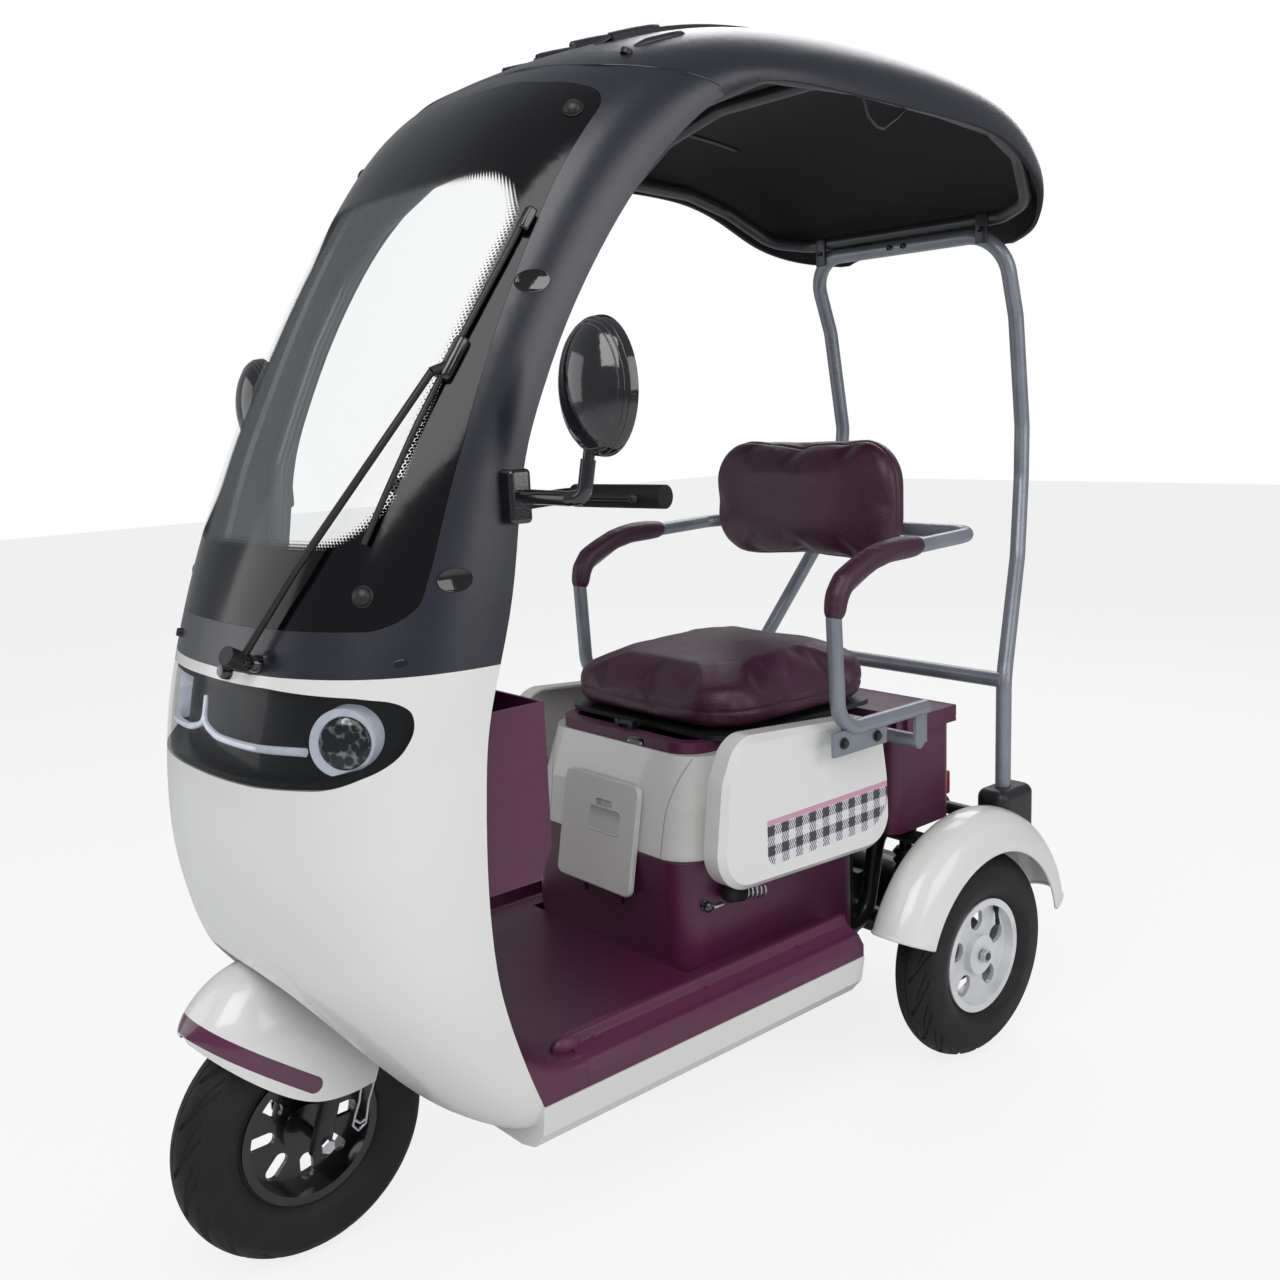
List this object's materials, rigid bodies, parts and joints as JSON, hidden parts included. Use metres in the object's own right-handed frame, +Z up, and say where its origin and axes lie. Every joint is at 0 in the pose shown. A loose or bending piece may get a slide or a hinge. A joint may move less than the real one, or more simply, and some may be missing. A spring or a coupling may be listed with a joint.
{
  "type": "three wheeled car",
  "caption": "Roofed three wheeled car for one rider, with a moulded front and windshield, a seat over a storage box, a rear box and a tube hoop behind.",
  "frame": {"origin": "on the floor, midway between the front and rear ends, on the middle plane", "axes": "+X to the car's left, -Y to its front, +Z up"},
  "size_m": [1.004, 1.6505, 1.7248],
  "materials": {
    "frame_black": "satin black paint",
    "tube_grey": "silver grey paint",
    "spring_black": "satin black paint",
    "cream": "gloss cream",
    "purple": "satin plum",
    "navy": "satin blue black",
    "black_plastic": "matte black",
    "visor_glass": "smoked clear",
    "lamp_white": "white lens",
    "lamp_red": "red lens",
    "clear_glass": "clear",
    "mirror": "mirror",
    "rubber": "matte black",
    "leather": "dark plum grained",
    "tyre": "black rubber",
    "rim_black": "gloss black",
    "rim_white": "gloss white"
  },
  "bodies": {
    "body": {"chassis_frame": "frame_black", "rear_axle": "frame_black", "drive_motor": "frame_black", "rear_shocks": "spring_black", "seat_base": "purple", "battery_pack": "black_plastic", "front_shield": "cream", "belly_pan": "cream", "floor_pan": "purple", "leg_shield": "purple", "headlamp_backing": "black_plastic", "headlamp_visor": "visor_glass", "headlamp_rings": "lamp_white", "headlamp_lenses": "lamp_white", "headlamp_strip": "lamp_white", "windshield_frame": "navy", "windshield": "clear_glass", "wiper": "black_plastic", "roof_canopy": "navy", "roof_tube_frame": "tube_grey", "rear_hoop": "tube_grey", "hoop_covers": "black_plastic", "seat_box": "cream", "storage_tub": "purple", "hatch_hinge": "frame_black", "seat_hinge": "frame_black", "side_panels": "cream", "armrest_frame": "tube_grey", "armrest_pads": "leather", "backrest": "leather", "rear_box": "purple", "tail_lamps": "lamp_red", "rear_fenders": "cream", "mirror_housings": "black_plastic", "mirror_glasses": "mirror"},
    "steering": {"front_fork": "frame_black", "front_fender": "cream", "handlebar": "frame_black", "grips": "rubber", "brake_levers": "black_plastic"},
    "front_wheel": {"front_rim": "rim_black", "front_tyre": "tyre"},
    "rear_wheel_left": {"rear_rim_left": "rim_white", "rear_tyre_left": "tyre"},
    "rear_wheel_right": {"rear_rim_right": "rim_white", "rear_tyre_right": "tyre"},
    "seat": {"seat_pan": "black_plastic", "seat_cushion": "leather"},
    "hatch": {"seat_box_hatch": "cream"},
    "box_lid": {"rear_box_lid": "purple"}
  },
  "joints": [
    {"name": "steering_turn", "type": "hinge", "parent": "body", "child": "steering", "pos_m": [0, -0.51926, 0.46105], "axis": [0, 0.309, 0.9511], "range_deg": [-30, 30]},
    {"name": "front_wheel_roll", "type": "hinge", "parent": "steering", "child": "front_wheel", "pos_m": [0, -0.6405, 0.185], "axis": [1, 0, 0], "continuous": true},
    {"name": "rear_wheel_left_roll", "type": "hinge", "parent": "body", "child": "rear_wheel_left", "pos_m": [0.3305, 0.4875, 0.185], "axis": [1, 0, 0], "continuous": true},
    {"name": "rear_wheel_right_roll", "type": "hinge", "parent": "body", "child": "rear_wheel_right", "pos_m": [-0.3305, 0.4875, 0.185], "axis": [1, 0, 0], "continuous": true},
    {"name": "seat_tip", "type": "hinge", "parent": "body", "child": "seat", "pos_m": [0, -0.0115, 0.647], "axis": [1, 0, 0], "range_deg": [0, 75]},
    {"name": "hatch_open", "type": "hinge", "parent": "body", "child": "hatch", "pos_m": [0, -0.0845, 0.389], "axis": [1, 0, 0], "range_deg": [0, 80]},
    {"name": "box_lid_open", "type": "hinge", "parent": "body", "child": "box_lid", "pos_m": [0, 0.5645, 0.588], "axis": [-1, 0, 0], "range_deg": [0, 75]}
  ]
}
